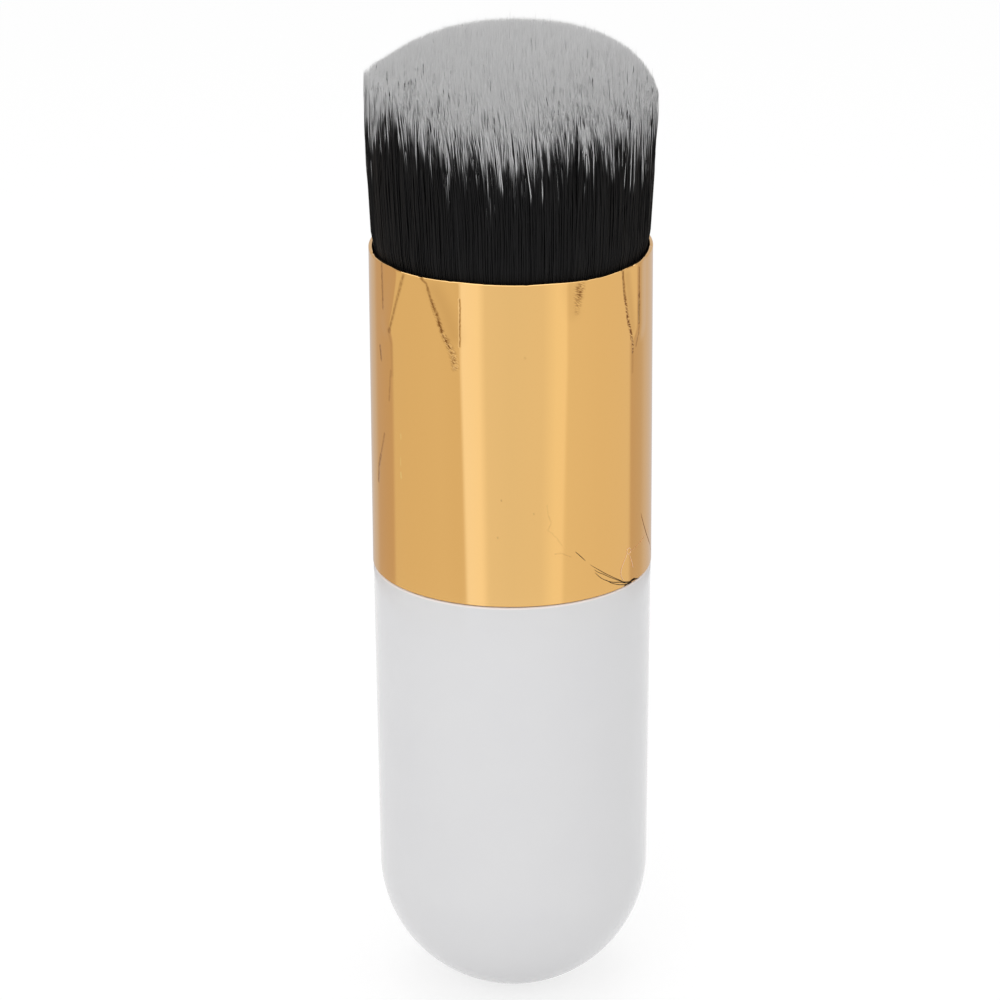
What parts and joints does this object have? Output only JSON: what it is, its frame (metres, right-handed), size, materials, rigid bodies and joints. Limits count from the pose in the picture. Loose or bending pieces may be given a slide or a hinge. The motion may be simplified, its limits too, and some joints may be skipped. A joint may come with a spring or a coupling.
{
  "type": "foundation brush",
  "caption": "Short stout make-up brush: glossy round-ended handle, flush tubular metal ferrule and a dense domed head of two-tone synthetic fibres.",
  "frame": {"origin": "lowest point of the handle's round end, on the brush's axis", "axes": "+Z along the brush, from the handle's round end to the tips of the fibres; +X to the right as pictured"},
  "size_m": [0.026, 0.0261, 0.0934],
  "materials": {
    "handle_plastic": "moulded ABS, polished glossy white",
    "ferrule_metal": "drawn tube, bright gold anodised",
    "adhesive": "cured two-part adhesive",
    "potting_resin": "cast epoxy, glossy",
    "binding_thread": "wound polyester thread",
    "fibre": "synthetic fibres, black with pale grey tips"
  },
  "bodies": {
    "root": {"handle_shell": "handle_plastic", "ferrule": "ferrule_metal", "glue_ring_lower": "adhesive", "glue_ring_upper": "adhesive", "root_resin": "potting_resin", "root_binding": "binding_thread", "bristle_head": "fibre"}
  },
  "joints": []
}
